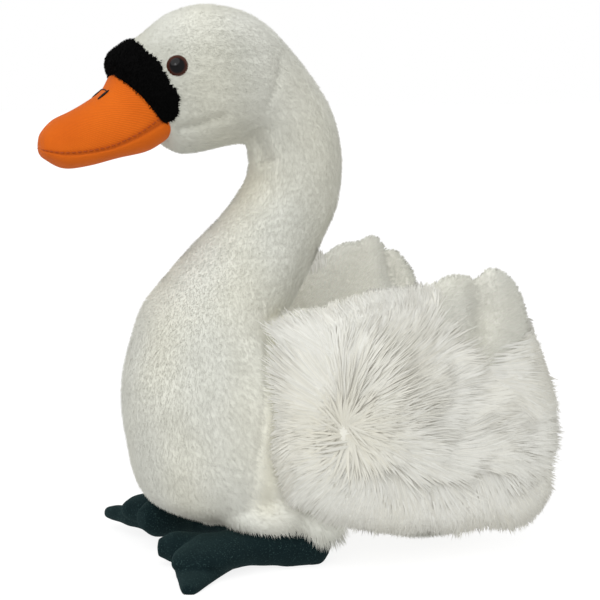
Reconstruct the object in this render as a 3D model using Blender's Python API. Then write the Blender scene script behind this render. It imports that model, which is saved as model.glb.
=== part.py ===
"""A sewn plush toy swan, sitting with folded wings on two stuffed felt feet.

The swan faces -Y, its left side is +X and +Z is up. The origin is on the floor
under the middle of the toy's box. Tables of sizes are in millimetres, with y
counted from the toy's hip line, which stands HIP_LINE behind the origin.
"""

import math

import bmesh
import bpy
import numpy as np
from mathutils import Matrix, Vector

MM = 0.001
HIP_LINE = 4.1           # y of the tables' zero, so that the box is centred on the origin
GAP = 0.3                # clearance between neighbouring pieces
CAP_DOME = 0.35          # how far a loft's end bulges, as a share of its last step
SMOOTH_ANGLE = 50        # edges sharper than this, in degrees, stay hard
CUT_MERGE = 1e-7         # metres; points nearer a cutting plane than this lie on it
BALL_SEGMENTS = 16       # eyes and thighs
BALL_RINGS = 10
RING_POINTS = 20         # points round a body section
STEPS = 2                # rings from one station to the next
FULLNESS = 2.15          # 2 is an ellipse, more is a fuller, squarer section

# Body sections, each a slanted plane through an under and an over point:
# (under y, under z, over y, over z, half width)
HEAD = [
    (-96.5, 243.0, -102.5, 259.5, 8.0),
    (-90.0, 236.0, -106.3, 265.5, 15.0),
    (-83.0, 229.0, -105.3, 271.0, 20.5),
    (-76.5, 222.5, -99.5, 275.5, 25.0),
    (-70.5, 218.6, -88.5, 282.3, 28.5),
    (-63.5, 218.0, -73.5, 293.0, 32.0),
    (-55.0, 219.5, -51.5, 298.0, 34.0),
    (-44.5, 221.8, -28.5, 292.5, 33.5),
]
NECK = [
    (-31.0, 223.5, -7.0, 274.5, 29.5),
    (-29.6, 219.0, 8.5, 255.5, 27.2),
    (-29.0, 213.5, 19.5, 235.5, 26.0),
    (-29.0, 207.0, 23.2, 213.0, 25.7),
    (-33.0, 199.0, 21.5, 192.5, 25.8),
    (-42.0, 187.5, 14.0, 174.0, 26.6),
    (-58.5, 171.0, 5.0, 155.0, 29.5),
    (-76.0, 153.0, -5.0, 138.0, 35.5),
]
BREAST = [
    (-89.0, 134.0, -14.0, 122.5, 43.0),
    (-96.8, 110.0, 8.0, 101.0, 51.5),
    (-100.2, 90.0, 20.0, 84.0, 56.5),
    (-98.3, 68.0, 22.0, 62.0, 57.5),
    (-94.0, 46.0, 15.0, 42.0, 55.0),
    (-85.5, 30.0, 4.0, 26.0, 46.5),
    (-65.0, 20.5, -16.0, 18.5, 27.0),
]
# Upright sections of the trunk: (y, bottom z, top z, half width)
TRUNK = [
    (-60.0, 17.0, 140.0, 55.0),
    (-36.0, 16.0, 134.0, 57.0),
    (-16.0, 15.0, 126.0, 58.5),
    (15.0, 11.5, 120.5, 58.5),
    (45.0, 4.0, 118.0, 56.0),
    (73.0, -1.2, 112.5, 50.0),
    (97.0, 3.0, 102.0, 40.0),
    (114.0, 17.0, 88.0, 26.0),
    (124.0, 35.0, 72.0, 12.0),
]
# Slanted sections of the tail wedge, in the same columns as the neck
TAIL = [
    (108.0, 36.0, 84.0, 90.0, 33.0),
    (122.0, 50.0, 94.0, 99.0, 34.0),
    (130.0, 66.0, 101.0, 103.5, 32.5),
    (134.5, 82.0, 109.0, 109.0, 29.0),
    (135.0, 98.0, 117.0, 115.0, 23.0),
    (132.0, 110.0, 123.5, 119.0, 14.0),
]
# Upright sections of a wing, front to back:
# (y, bottom z, top z, half thickness, distance of its waist from the middle)
WING = [
    (-36.0, 60.0, 92.0, 5.0, 59.0),
    (-30.0, 42.0, 121.0, 10.5, 63.0),
    (-14.0, 30.0, 140.0, 14.5, 67.0),
    (10.0, 21.0, 149.0, 16.5, 69.0),
    (38.0, 17.0, 152.0, 16.5, 70.0),
    (55.0, 16.0, 159.0, 15.5, 70.0),
    (67.0, 15.5, 158.5, 15.0, 70.0),
    (79.0, 15.0, 162.0, 14.5, 70.0),
    (92.0, 14.5, 152.5, 13.5, 70.0),
    (103.5, 15.0, 129.0, 12.0, 69.5),
    (114.5, 20.0, 107.0, 9.5, 69.0),
    (122.0, 33.0, 86.0, 6.0, 69.0),
]
WING_HEIGHT = 162.0
WING_TUCK = 13.0         # how much closer its foot is than its waist
WING_SPREAD = 10.0       # how much further out its top is
WING_POINTS = 16
WING_LENS = 0.8          # 1 is an oval section, less is fuller towards its edges

# Bill sections: (top y, top z, seam y, seam z, bottom y, bottom z, half width)
BILL = [
    (-92.0, 262.5, -74.0, 243.0, -66.0, 233.0, 21.5),
    (-103.0, 261.5, -84.0, 236.0, -76.5, 226.5, 22.5),
    (-109.5, 252.5, -96.0, 229.0, -87.0, 220.3, 20.5),
    (-118.0, 246.7, -109.0, 223.4, -103.0, 217.0, 18.5),
    (-126.5, 242.0, -122.5, 220.9, -119.0, 213.2, 17.5),
    (-136.0, 237.5, -134.0, 220.4, -131.5, 212.2, 15.5),
    (-142.4, 231.6, -141.9, 221.6, -140.9, 216.8, 9.5),
]
BILL_POINTS = 13
BILL_ARCH = 0.9          # 1 is an oval section, less is squarer

FACE_PATCH_CENTRE = (-100.0, 256.0)     # y, z of the round black face panel
FACE_PATCH_RADIUS = 25.0
PANEL_DEPTH = 120.0      # length of its cutter, well past both cheeks
PANEL_SEGMENTS = 30
EYE_CENTRE = (26.3, -76.5, 265.3)
EYE_RADIUS = 6.2

# Foot lobes about the heel's centre line: (x, y, bottom z, top z, half width)
FOOT_SPREAD = 38.0
FOOT_SOLE = [
    (0.0, 1.0, 3.0, 16.0, 6.5),
    (0.5, -6.0, -1.4, 20.5, 11.5),
    (0.0, -22.0, -0.8, 21.5, 13.0),
    (-1.5, -42.0, 1.4, 21.0, 14.5),
    (1.0, -60.0, 0.8, 19.5, 19.0),
    (2.5, -71.0, 0.4, 17.5, 22.0),
    (1.0, -79.0, 2.0, 14.5, 18.0),
    (-1.0, -83.0, 5.0, 11.5, 10.0),
]
OUTER_TOE = [
    (-1.0, -62.0, -1.2, 10.0, 13.0),
    (10.5, -72.5, -1.2, 9.0, 13.0),
    (25.5, -80.5, -1.2, 7.0, 8.8),
    (35.5, -85.5, -1.2, 5.5, 5.8),
    (41.5, -88.5, -1.0, 4.2, 3.2),
]
INNER_TOE = [
    (-4.0, -56.0, 2.0, 16.0, 9.0),
    (-13.0, -68.0, 1.5, 17.5, 11.0),
    (-19.0, -78.5, 1.5, 17.5, 10.0),
    (-21.5, -86.0, 5.0, 14.0, 5.5),
]
FOOT_RISE = {1: 1.0, -1: 1.22}    # the right foot is stuffed fuller
FOOT_POINTS = 14
THIGH_CENTRE = (37.0, -26.0, 29.0)
THIGH_HALF = (19.0, 34.0, 15.5)

# Parting planes run across the whole width, each through a line from one (y, z) to another
HEAD_PARTING = ((-31.0, 223.5), (-9.5, 272.5))
NECK_PARTING = ((-42.0, 187.5), (14.0, 174.0))
BREAST_PARTING = ((-96.0, 119.5), (-16.0, 121.5))
SIDE_SEAM = ((-33.0, 128.0), (-46.0, 35.0))
FLOOR_LINE = ((-200.0, 0.0), (200.0, 0.0))

# Where the neck and the breast start along the line of sections from crown to belly
BODY_LINE = HEAD + NECK + BREAST
NECK_START = len(HEAD)
BREAST_START = NECK_START + len(NECK)
BODY_END = len(BODY_LINE)

COLOURS = {
    "white_plush": ((0.78, 0.78, 0.73), 0.95),
    "wing_plush": ((0.80, 0.80, 0.76), 0.95),
    "black_plush": ((0.004, 0.004, 0.004), 0.9),
    "orange_twill": ((0.75, 0.17, 0.015), 0.8),
    "green_felt": ((0.012, 0.022, 0.023), 0.95),
    "eye_gloss": ((0.010, 0.006, 0.004), 0.08),
}


def add_material(name):
    colour, roughness = COLOURS[name]
    material = bpy.data.materials.get(name) or bpy.data.materials.new(name)
    material.use_nodes = True
    shader = material.node_tree.nodes["Principled BSDF"]
    shader.inputs["Base Color"].default_value = (*colour, 1.0)
    shader.inputs["Roughness"].default_value = roughness
    shader.inputs["Metallic"].default_value = 0.0
    material.diffuse_color = (*colour, 1.0)
    return material


def interpolate(stations):
    """Rows on a smooth Catmull-Rom curve through the stations."""
    rows = np.array(stations, dtype=float)
    padded = np.vstack([2 * rows[0] - rows[1], rows, 2 * rows[-1] - rows[-2]])
    smooth = []
    for i in range(1, len(rows)):
        before, start, end, after = padded[i - 1:i + 3]
        for step in range(STEPS):
            t = step / STEPS
            smooth.append(0.5 * (2 * start + (end - before) * t
                                 + (2 * before - 5 * start + 4 * end - after) * t ** 2
                                 + (3 * start - before - 3 * end + after) * t ** 3))
    smooth.append(rows[-1])
    return smooth


def round_power(value, power):
    return math.copysign(abs(value) ** power, value)


def ring_angles(count=RING_POINTS):
    return [2 * math.pi * i / count for i in range(count)]


def slanted_ring(row):
    """A full section in the plane through an under and an over point."""
    under = Vector((0.0, row[0], row[1]))
    over = Vector((0.0, row[2], row[3]))
    centre = (under + over) / 2
    half = (over - under) / 2
    power = 2 / FULLNESS
    return [centre + half * round_power(math.sin(a), power)
            + Vector((row[4] * round_power(math.cos(a), power), 0.0, 0.0))
            for a in ring_angles()]


def upright_ring(row):
    y, bottom, top, width = row
    return slanted_ring((y, bottom, y, top, width))


def wing_ring(row, side):
    """A leaning lens: its middle line curves from the foot to the top of the wing."""
    y, bottom, top, thickness, waist = row
    ring = []
    for angle in ring_angles(WING_POINTS):
        rise = (1 + math.sin(angle)) / 2
        z = bottom + rise * (top - bottom)
        t = 2 * z / WING_HEIGHT - 1
        middle = waist + (WING_SPREAD if t > 0 else -WING_TUCK) * t * t
        thick = thickness * round_power(math.cos(angle), WING_LENS)
        ring.append(Vector((side * (middle + thick), y, z)))
    return ring


def foot_lobe(stations, side):
    """Oval sections across a lobe's own direction, which lies in the floor."""
    rows = np.array(interpolate(stations))
    along = np.gradient(rows[:, :2], axis=0)
    along /= np.linalg.norm(along, axis=1)[:, None]
    rings = []
    for (x, y, bottom, top, width), (run_x, run_y) in zip(rows, along):
        centre = Vector((side * x, y, FOOT_RISE[side] * (bottom + top) / 2))
        across = Vector((-side * run_y, run_x, 0.0)) * width
        rise = Vector((0.0, 0.0, FOOT_RISE[side] * (top - bottom) / 2))
        rings.append([centre + across * math.cos(a) + rise * math.sin(a)
                      for a in ring_angles(FOOT_POINTS)])
    return loft(rings)


def bill_ring(row, upper):
    """Half of the bill: an arch over the seam, or a bowl under it."""
    top = Vector((0.0, row[0], row[1]))
    seam = Vector((0.0, row[2], row[3]))
    bottom = Vector((0.0, row[4], row[5]))
    rise = (top if upper else bottom) - seam
    base = seam + rise.normalized() * GAP / 2
    ring = []
    for i in range(BILL_POINTS):
        angle = math.pi * i / (BILL_POINTS - 1)
        across = Vector((row[6] * round_power(math.cos(angle), BILL_ARCH), 0.0, 0.0))
        ring.append(base + across + rise * round_power(math.sin(angle), BILL_ARCH))
    return ring


def loft(rings):
    """Closed mesh data over a row of rings, with a slightly domed fan at each end."""
    mesh = bmesh.new()
    loops = [[mesh.verts.new(point * MM) for point in ring] for ring in rings]
    for loop, following in zip(loops, loops[1:]):
        for i in range(len(loop)):
            j = (i + 1) % len(loop)
            mesh.faces.new((loop[i], loop[j], following[j], following[i]))
    for loop, inner in ((loops[0], loops[1]), (loops[-1], loops[-2])):
        centre = sum((vertex.co for vertex in loop), Vector()) / len(loop)
        behind = sum((vertex.co for vertex in inner), Vector()) / len(inner)
        pole = mesh.verts.new(centre + (centre - behind) * CAP_DOME)
        for i in range(len(loop)):
            mesh.faces.new((loop[i], loop[(i + 1) % len(loop)], pole))
    bmesh.ops.recalc_face_normals(mesh, faces=mesh.faces)
    return mesh


def grown(mesh):
    """The same closed mesh with its surface moved out by the clearance."""
    mesh.normal_update()
    for vertex in mesh.verts:
        vertex.co += vertex.normal * GAP * MM
    return mesh


def slice_mesh(mesh, line, keep, offset=GAP / 2):
    """Cut away one side of the plane through a line in the middle plane and close the cut.

    keep is +1 for the side that the line's left normal points to, or -1.
    """
    start, end = (Vector((0.0, *point)) * MM for point in line)
    along = (end - start).normalized()
    normal = Vector((0.0, -along.z, along.y)) * keep
    geometry = mesh.verts[:] + mesh.edges[:] + mesh.faces[:]
    cut = bmesh.ops.bisect_plane(mesh, geom=geometry, dist=CUT_MERGE,
                                 plane_co=start + normal * offset * MM,
                                 plane_no=normal, clear_inner=True)
    edges = [item for item in cut["geom_cut"] if isinstance(item, bmesh.types.BMEdge)]
    bmesh.ops.holes_fill(mesh, edges=edges)
    bmesh.ops.recalc_face_normals(mesh, faces=mesh.faces)
    return mesh


def add_object(name, mesh, material, collection, location=(0.0, 0.0, 0.0)):
    data = bpy.data.meshes.new(name)
    mesh.to_mesh(data)
    mesh.free()
    data.materials.append(add_material(material))
    data.shade_smooth()
    data.set_sharp_from_angle(angle=math.radians(SMOOTH_ANGLE))
    piece = bpy.data.objects.new(name, data)
    piece.parent = root
    piece.location = Vector(location) * MM
    collection.objects.link(piece)
    return piece


def add_part(name, mesh, material, location=(0.0, 0.0, 0.0)):
    return add_object(name, mesh, material, parts, location)


def add_cutter(name, mesh, location=(0.0, 0.0, 0.0)):
    cutter = add_object("cut_" + name, mesh, "white_plush", cutters, location)
    cutter.hide_render = True
    cutter.display_type = "WIRE"
    return cutter


def combine(piece, other, operation="DIFFERENCE"):
    modifier = piece.modifiers.new(other.name, "BOOLEAN")
    modifier.operation = operation
    modifier.solver = "EXACT"
    modifier.object = other


def ball(half_sizes):
    mesh = bmesh.new()
    bmesh.ops.create_uvsphere(mesh, u_segments=BALL_SEGMENTS, v_segments=BALL_RINGS, radius=MM)
    bmesh.ops.scale(mesh, vec=half_sizes, verts=mesh.verts)
    return mesh


def body_shape(first, last):
    """The sections from first up to, but not including, last of the body line."""
    return loft([slanted_ring(row) for row in interpolate(BODY_LINE[first:last])])


def head_shape():
    return body_shape(0, NECK_START + 2)


def trunk_shape():
    return loft([upright_ring(row) for row in interpolate(TRUNK)])


def panel_cutter(label, radius):
    mesh = bmesh.new()
    bmesh.ops.create_cone(mesh, cap_ends=True, segments=PANEL_SEGMENTS, radius1=radius * MM,
                          radius2=radius * MM, depth=PANEL_DEPTH * MM)
    bmesh.ops.rotate(mesh, matrix=Matrix.Rotation(math.pi / 2, 3, "Y"), verts=mesh.verts)
    return add_cutter(label, mesh, (0.0, *FACE_PATCH_CENTRE))


def make_head():
    """The white head, the black panel round the bill's root, and two set-in eyes."""
    head = add_part("head", slice_mesh(head_shape(), HEAD_PARTING, 1), "white_plush")
    patch = add_part("face_patch", head_shape(), "black_plush")
    combine(head, panel_cutter("panel_grown", FACE_PATCH_RADIUS + GAP))
    combine(patch, panel_cutter("panel", FACE_PATCH_RADIUS), "INTERSECT")
    for name, side in (("left", 1), ("right", -1)):
        x, y, z = EYE_CENTRE
        place = (side * x, y, z)
        add_part("eye_" + name, ball([EYE_RADIUS] * 3), "eye_gloss", place)
        socket = add_cutter("socket_" + name, grown(ball([EYE_RADIUS] * 3)), place)
        combine(head, socket)
        combine(patch, socket)


def make_bill():
    head_cutter = add_cutter("head", grown(head_shape()))
    rows = interpolate(BILL)
    for name, upper in (("bill_upper", True), ("bill_lower", False)):
        bill = add_part(name, loft([bill_ring(row, upper) for row in rows]), "orange_twill")
        combine(bill, head_cutter)


def make_neck_and_breast():
    """Three lengths of one line; each loft starts and ends past the cuts that trim it."""
    upper = slice_mesh(body_shape(NECK_START - 1, BREAST_START - 1), HEAD_PARTING, -1)
    add_part("neck_upper", slice_mesh(upper, NECK_PARTING, 1), "white_plush")
    lower = slice_mesh(body_shape(NECK_START + 4, BREAST_START + 2), NECK_PARTING, -1)
    add_part("neck_lower", slice_mesh(lower, BREAST_PARTING, 1), "white_plush")
    front = slice_mesh(body_shape(BREAST_START - 1, BODY_END), BREAST_PARTING, -1)
    return add_part("breast", slice_mesh(front, SIDE_SEAM, -1), "white_plush")


def make_trunk():
    """The body behind the side seam, hollowed at the top where the neck leans into it."""
    body = slice_mesh(trunk_shape(), SIDE_SEAM, 1)
    trunk = add_part("trunk", slice_mesh(body, FLOOR_LINE, 1, 0.0), "white_plush")
    neck = grown(body_shape(NECK_START + 5, BREAST_START + 2))
    neck = slice_mesh(neck, BREAST_PARTING, 1, -GAP / 2)
    combine(trunk, add_cutter("neck", neck))
    return trunk


def make_feet(body_parts):
    """Two stuffed felt feet, and the bodies above them hollowed where they rest."""
    foot_cutters = {}
    for name, side in (("left", 1), ("right", -1)):
        place = (side * FOOT_SPREAD, 0.0, 0.0)
        sole = foot_lobe(FOOT_SOLE, side)
        foot = add_part("foot_" + name, slice_mesh(sole, FLOOR_LINE, 1, 0.0), "green_felt", place)
        hollow = add_cutter("foot_" + name, grown(foot_lobe(FOOT_SOLE, side)), place)
        foot_cutters[side] = hollow
        for label, rows in (("outer_toe_", OUTER_TOE), ("inner_toe_", INNER_TOE)):
            toe = slice_mesh(foot_lobe(rows, side), FLOOR_LINE, 1, 0.0)
            combine(foot, add_cutter(label + name, toe, place), "UNION")
        for body in body_parts:
            combine(body, hollow)
    return foot_cutters


def make_legs(foot_cutters, front_cutter, trunk_cutter):
    """Short padded thighs between the body and the feet."""
    leg_cutters = {}
    for name, side in (("left", 1), ("right", -1)):
        x, y, z = THIGH_CENTRE
        place = (side * x, y, z)
        leg = add_part("leg_" + name, ball(THIGH_HALF), "white_plush", place)
        for cutter in (front_cutter, trunk_cutter, foot_cutters[side]):
            combine(leg, cutter)
        leg_cutters[side] = add_cutter("leg_" + name, grown(ball(THIGH_HALF)), place)
    return leg_cutters


def make_wings(leg_cutters, front_cutter, trunk_cutter):
    """Padded flaps on the body's sides, which end face to face with what they lie on."""
    for name, side in (("left", 1), ("right", -1)):
        rings = [wing_ring(row, side) for row in interpolate(WING)]
        wing = add_part("wing_" + name, loft(rings), "wing_plush")
        for cutter in (trunk_cutter, front_cutter, leg_cutters[side]):
            combine(wing, cutter)


def make_tail(trunk_cutter):
    rows = interpolate(TAIL)
    tail = add_part("tail", loft([slanted_ring(row) for row in rows]), "white_plush")
    combine(tail, trunk_cutter)


for old in list(bpy.data.objects):
    bpy.data.objects.remove(old, do_unlink=True)

parts = bpy.data.collections.new("plush_swan")
cutters = bpy.data.collections.new("cutters")
for group in (parts, cutters):
    bpy.context.scene.collection.children.link(group)
root = bpy.data.objects.new("swan_origin", None)
root.location.y = HIP_LINE * MM
parts.objects.link(root)

make_head()
make_bill()
breast = make_neck_and_breast()
trunk = make_trunk()
feet = make_feet((breast, trunk))
front_body = add_cutter("front", grown(body_shape(NECK_START + 4, BODY_END)))
rear_body = add_cutter("trunk", grown(trunk_shape()))
legs = make_legs(feet, front_body, rear_body)
make_wings(legs, front_body, rear_body)
make_tail(rear_body)
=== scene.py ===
import bpy
import numpy as np
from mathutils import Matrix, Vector


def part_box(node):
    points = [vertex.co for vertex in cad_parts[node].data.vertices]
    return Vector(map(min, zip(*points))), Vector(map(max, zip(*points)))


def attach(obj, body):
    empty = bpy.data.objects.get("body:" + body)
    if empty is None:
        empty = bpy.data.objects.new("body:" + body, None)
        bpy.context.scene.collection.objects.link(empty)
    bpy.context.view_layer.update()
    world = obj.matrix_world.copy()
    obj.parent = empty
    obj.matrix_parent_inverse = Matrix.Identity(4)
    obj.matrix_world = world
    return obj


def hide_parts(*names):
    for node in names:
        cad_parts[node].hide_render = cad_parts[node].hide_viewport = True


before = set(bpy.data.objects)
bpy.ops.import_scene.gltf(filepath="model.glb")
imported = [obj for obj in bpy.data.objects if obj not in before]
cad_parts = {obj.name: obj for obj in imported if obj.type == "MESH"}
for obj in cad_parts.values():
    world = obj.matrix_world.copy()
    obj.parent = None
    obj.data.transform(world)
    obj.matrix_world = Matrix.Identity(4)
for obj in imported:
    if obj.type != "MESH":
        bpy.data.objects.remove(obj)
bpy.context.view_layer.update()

# Shapes are worked out in millimetres, with y counted from the toy's hip line.
# The swan faces -y, its left side is +x, and the floor is z = 0.
mm = 0.001
hipLine = 4.1    # y of the hip line in the shared frame
trisPerPiece = 190000    # a coat piece is split past this
patchSize = 0.003    # how wide a tuft's own patch is on its coat's map
rng = np.random.default_rng(11)



def smoothStep(value, start, end):
    # 0 before start, 1 after end, and a cubic between them
    t = np.clip((value - start) / (end - start), 0, 1)
    return t * t * (3 - 2 * t)


def unit(vectors):
    return vectors / np.maximum(np.linalg.norm(vectors, axis=-1, keepdims=True), 1e-9)


def roundPower(value, power):
    return np.sign(value) * np.abs(value) ** power


def lineAt(x, line):
    # how high a bent line of (x, height) points is at x
    return np.interp(x, *np.transpose(line))


def waves(points, wavelength, seed):
    # a smooth field from -1 to 1: three crossed sine waves of about that wavelength
    turns = np.random.default_rng(seed)
    total = np.zeros(len(points))
    for _ in range(3):
        heading = unit(turns.normal(size=3))
        total += np.sin(points @ heading * 2 * np.pi / wavelength + turns.uniform(0, 6.28))
    return total / 3


def catmullRom(rows, steps):
    # the cubic through neighbouring rows whose slope at each is half its neighbours' difference
    rows = np.array(rows, float)
    ends = np.vstack([2 * rows[0] - rows[1], rows, 2 * rows[-1] - rows[-2]])
    t = (np.arange(steps) / steps)[None, :, None]
    a, b, c, d = (ends[i:len(rows) - 1 + i][:, None, :] for i in range(4))
    spans = 0.5 * (2 * b + (c - a) * t + (2 * a - 5 * b + 4 * c - d) * t ** 2
                   + (3 * b - a - 3 * c + d) * t ** 3)
    return np.vstack([spans.reshape(-1, rows.shape[1]), rows[-1:]])


def runLength(line):
    # how far along a line of points each of them is
    return np.concatenate([[0], np.linalg.norm(np.diff(line, axis=0), axis=1).cumsum()])


def inPlane(points):
    # y and z of each point
    return points[..., 1:3]


def distanceToLine(points, line):
    # how far each (y, z) is from a bent line, and how far along it the nearest place is, 0 to 1
    line = np.array(line, float)
    best = np.full(len(points), 1e9)
    along = np.zeros(len(points))
    for i, (start, end) in enumerate(zip(line, line[1:])):
        run = end - start
        t = np.clip((points - start) @ run / (run @ run), 0, 1)
        gap = np.linalg.norm(points - start - t[:, None] * run, axis=1)
        nearer = gap < best
        best = np.where(nearer, gap, best)
        along = np.where(nearer, (i + t) / (len(line) - 1), along)
    return best, along


def vertexNormals(points, faces):
    # the sum of the neighbouring faces' normals, each from its two diagonals or sides
    a, b, c, d = (points[faces[:, i]] for i in (0, 1, 2, -1))
    across = np.cross(c - a, d - b) if faces.shape[1] == 4 else np.cross(b - a, c - a)
    total = np.zeros_like(points)
    for i in range(faces.shape[1]):
        np.add.at(total, faces[:, i], across)
    return unit(total)


def outward(points, faceSets):
    # turns every face over when the closed shape's signed volume is negative
    volume = 0.0
    for faces in faceSets:
        for i in range(1, faces.shape[1] - 1):
            a, b, c = (points[faces[:, k]] for k in (0, i, i + 1))
            volume += np.einsum("ij,ij->i", a, np.cross(b, c)).sum()
    return faceSets if volume > 0 else [faces[:, ::-1] for faces in faceSets]


def tube(grid, dome=0.35):
    # rings joined by quads, and a fan at each end to a pole that bulges a share of the last step
    rows, columns = grid.shape[:2]
    ring = np.arange(rows * columns).reshape(rows, columns)
    after = np.roll(ring, -1, axis=1)
    quads = np.stack([ring[:-1], after[:-1], after[1:], ring[1:]], axis=-1).reshape(-1, 4)
    poles = []
    fans = []
    for last, inner, order in ((0, 1, 1), (-1, -2, -1)):
        middle = grid[last].mean(axis=0)
        poles.append(middle + (middle - grid[inner].mean(axis=0)) * dome)
        pole = np.full(columns, rows * columns + len(poles) - 1)
        fans.append(np.stack([after[last], ring[last], pole][::order], axis=-1))
    points = np.vstack([grid.reshape(-1, 3), poles])
    return points, outward(points, [quads, np.vstack(fans)])


def addObject(name, data):
    thing = bpy.data.objects.new(name, data)
    bpy.context.scene.collection.objects.link(thing)
    return thing


def cornersOf(mesh):
    # the vertex at each corner of each face
    corners = np.zeros(len(mesh.loops), np.int32)
    mesh.loops.foreach_get("vertex_index", corners)
    return corners


def makePiece(name, points, faceSets, material, values=None):
    # points in millimetres from the hip line; values are kept for each point, or are the same
    mesh = bpy.data.meshes.new(name)
    mesh.vertices.add(len(points))
    place = (points + np.array([0, hipLine, 0])) * mm
    mesh.vertices.foreach_set("co", place.astype(np.float32).ravel())
    corners = np.concatenate([faces.ravel() for faces in faceSets]).astype(np.int32)
    sizes = np.concatenate([np.full(len(faces), faces.shape[1]) for faces in faceSets])
    mesh.loops.add(len(corners))
    mesh.loops.foreach_set("vertex_index", corners)
    mesh.polygons.add(len(sizes))
    starts = np.concatenate([[0], np.cumsum(sizes)[:-1]]).astype(np.int32)
    mesh.polygons.foreach_set("loop_start", starts)
    mesh.update(calc_edges=True)
    for label, numbers in (values or {}).items():
        layer = mesh.attributes.new(label, "FLOAT", "POINT")
        layer.data.foreach_set("value", np.full(len(points), numbers, np.float32))
    mesh.materials.append(material)
    mesh.shade_smooth()
    return addObject(name, mesh)


def setMap(piece, perPoint, label="OFBake"):
    # a UV map from one (u, v) for each point
    corners = cornersOf(piece.data)
    layer = piece.data.uv_layers.new(name=label)
    layer.data.foreach_set("uv", perPoint[corners].astype(np.float32).ravel())


def joinShapes(shapes):
    # several (points, face sets) as one
    points = np.vstack([shape[0] for shape in shapes])
    starts = np.cumsum([0] + [len(shape[0]) for shape in shapes[:-1]])
    return points, [faces + start for shape, start in zip(shapes, starts) for faces in shape[1]]


def mergedShape(shells, voxel, rounds):
    # closed shells made one volume, then smoothed so that their joins become soft creases
    piece = makePiece("union", *joinShapes(shells), bpy.data.materials.new("union"))
    remesh = piece.modifiers.new("remesh", "REMESH")
    remesh.mode = "VOXEL"
    remesh.voxel_size = voxel * mm
    smooth = piece.modifiers.new("smooth", "SMOOTH")
    smooth.factor = 0.5
    smooth.iterations = rounds
    graph = bpy.context.evaluated_depsgraph_get()
    mesh = bpy.data.meshes.new_from_object(piece.evaluated_get(graph))
    points = np.zeros(len(mesh.vertices) * 3)
    mesh.vertices.foreach_get("co", points)
    corners = cornersOf(mesh)
    bpy.data.objects.remove(piece)
    bpy.data.meshes.remove(mesh)
    points = points.reshape(-1, 3) / mm - np.array([0, hipLine, 0])
    return points, outward(points, [corners.reshape(-1, 4)])[0]



def hexLinear(code):
    # sRGB hex to linear: v / 12.92 when dark, ((v + 0.055) / 1.055) ^ 2.4 when not
    parts = np.array([int(code[i:i + 2], 16) / 255 for i in (1, 3, 5)])
    linear = np.where(parts <= 0.04045, parts / 12.92, ((parts + 0.055) / 1.055) ** 2.4)
    return (*linear.tolist(), 1.0)


def firstOutput(node):
    # a node can hide outputs that its settings leave unused
    return next(output for output in node.outputs if output.enabled)


def addNode(tree, kind, inputs=None, **settings):
    # a shader node with its settings; an input is a value, an output socket to link from, or
    # a node, whose first output in use is linked
    node = tree.nodes.new("ShaderNode" + kind)
    for name, value in settings.items():
        setattr(node, name, value)
    for key, value in (inputs or {}).items():
        if isinstance(value, bpy.types.Node):
            value = firstOutput(value)
        if isinstance(value, bpy.types.NodeSocket):
            tree.links.new(value, node.inputs[key])
        else:
            node.inputs[key].default_value = value
    return node


def newMaterial(name, **shader):
    # a Principled material with plain numbers set on its own sockets
    material = bpy.data.materials.new(name)
    material.use_nodes = True
    tree = material.node_tree
    principled = tree.nodes["Principled BSDF"]
    for key, value in shader.items():
        principled.inputs[key.replace("_", " ")].default_value = value
    return material, tree, principled


def perMetre(millimetres):
    # the noise scale that gives features of this size
    return 1 / (millimetres * mm)


def cover(tree, shader, colour, height=None, strength=0.0, depth=0.0):
    # gives a shader its colour from a node, and a bump of this depth in millimetres
    tree.links.new(firstOutput(colour), shader.inputs["Base Color"])
    if height:
        bump = addNode(tree, "Bump",
                       {"Height": height, "Strength": strength, "Distance": depth * mm})
        tree.links.new(bump.outputs[0], shader.inputs["Normal"])


def plushMaterial(name, light, deep, warm, rootShade, pileSize, sheen=0.08, paintedGlow=0.0):
    # Knitted-back polyester pile. Matt, with painted shade down among the roots that leaves the
    # tips a little brighter, faintly mottled where hands have turned the nap, and yellower along
    # the seams. Its emission is a faint glow: painted light that fills the shade between tufts.
    material, tree, shader = newMaterial(
        name, Roughness=0.95, Sheen_Weight=sheen, Sheen_Roughness=0.5, Specular_IOR_Level=0.1,
        Emission_Strength=paintedGlow, Emission_Color=hexLinear("#fff8e6"))
    place = addNode(tree, "TexCoord").outputs["Object"]
    tone, along, warmth = (addNode(tree, "Attribute", attribute_name=label).outputs["Fac"]
                           for label in ("tone", "along", "warmth"))
    mottle = addNode(tree, "TexNoise",
                     {"Vector": place, "Scale": perMetre(17), "Detail": 3.0, "Roughness": 0.55})
    # tone sets the colour between deep and light: random in places, painted light and shade in others
    blend = addNode(tree, "Math", {0: mottle, 1: 0.6, 2: tone}, operation="MULTIPLY_ADD")
    share = addNode(tree, "MapRange", {"Value": blend, "From Min": 0.3, "From Max": 1.3})
    base = addNode(tree, "Mix", {"Factor": share, "A": hexLinear(deep), "B": hexLinear(light)},
                   data_type="RGBA")
    yellowed = addNode(tree, "Mix", {"Factor": warmth, "A": base, "B": hexLinear(warm)},
                       data_type="RGBA")
    # painted shade: the colour is darkened towards each tuft's root, down to rootShade
    depth = addNode(tree, "MapRange", {"Value": along, "To Min": rootShade, "To Max": 1.0})
    shaded = addNode(tree, "VectorMath", {0: yellowed, "Scale": depth}, operation="SCALE")
    grain = addNode(tree, "TexNoise",
                    {"Vector": place, "Scale": perMetre(pileSize), "Detail": 2.0})
    cover(tree, shader, shaded, grain, strength=0.08, depth=0.5)
    return material


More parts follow.
